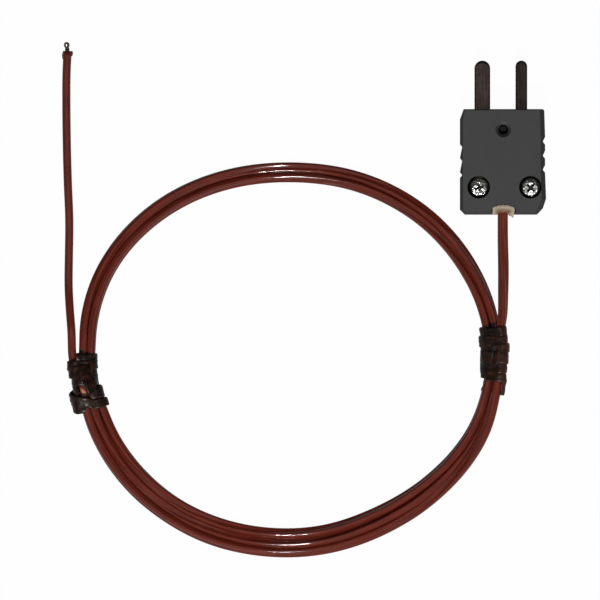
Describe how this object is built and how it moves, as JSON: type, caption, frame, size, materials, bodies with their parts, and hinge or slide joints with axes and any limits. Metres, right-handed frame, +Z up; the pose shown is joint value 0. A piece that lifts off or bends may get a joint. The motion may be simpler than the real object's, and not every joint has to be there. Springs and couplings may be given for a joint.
{
  "type": "thermocouple probe",
  "caption": "Bare-tip wire thermocouple probe: a coiled two-core lead, tied in a hank, from a miniature flat blade plug to a welded hot junction.",
  "frame": {"origin": "under the middle of the plug, at the height of the surface that the plug's back and the coil rest on", "axes": "+Y along the plug's blades towards their tips, +Z up out of the plug's front face, +X to the right when the front face is seen with the blades up"},
  "size_m": [0.0983, 0.1048, 0.008],
  "materials": {
    "moulding": "fine spark-eroded grain, dark grey",
    "oxidised_alloy": "dull brown oxide with drawn streaks",
    "nickel": "bright nickel plate",
    "brass": "turned brass",
    "silicone": "matte cream silicone",
    "jacket": "glossy red-brown fluoropolymer",
    "tie_plastic": "soft black plastic, slightly shiny"
  },
  "bodies": {
    "root": {"plug_base": "moulding", "plug_cover": "moulding", "blade_wide": "oxidised_alloy", "blade_narrow": "oxidised_alloy", "clamp_screw_wide": "nickel", "clamp_screw_narrow": "nickel", "clamp_plate_wide": "nickel", "clamp_plate_narrow": "nickel", "terminal_nut_wide": "brass", "terminal_nut_narrow": "brass", "cover_screw": "nickel", "cable_grommet": "silicone", "core_wide": "jacket", "core_narrow": "jacket", "wire_end_wide": "oxidised_alloy", "wire_end_narrow": "oxidised_alloy", "cord_lead": "jacket", "cord_coil": "jacket", "cord_tail": "jacket", "hot_junction": "oxidised_alloy", "tie_right": "tie_plastic", "tie_left": "tie_plastic"}
  },
  "joints": []
}
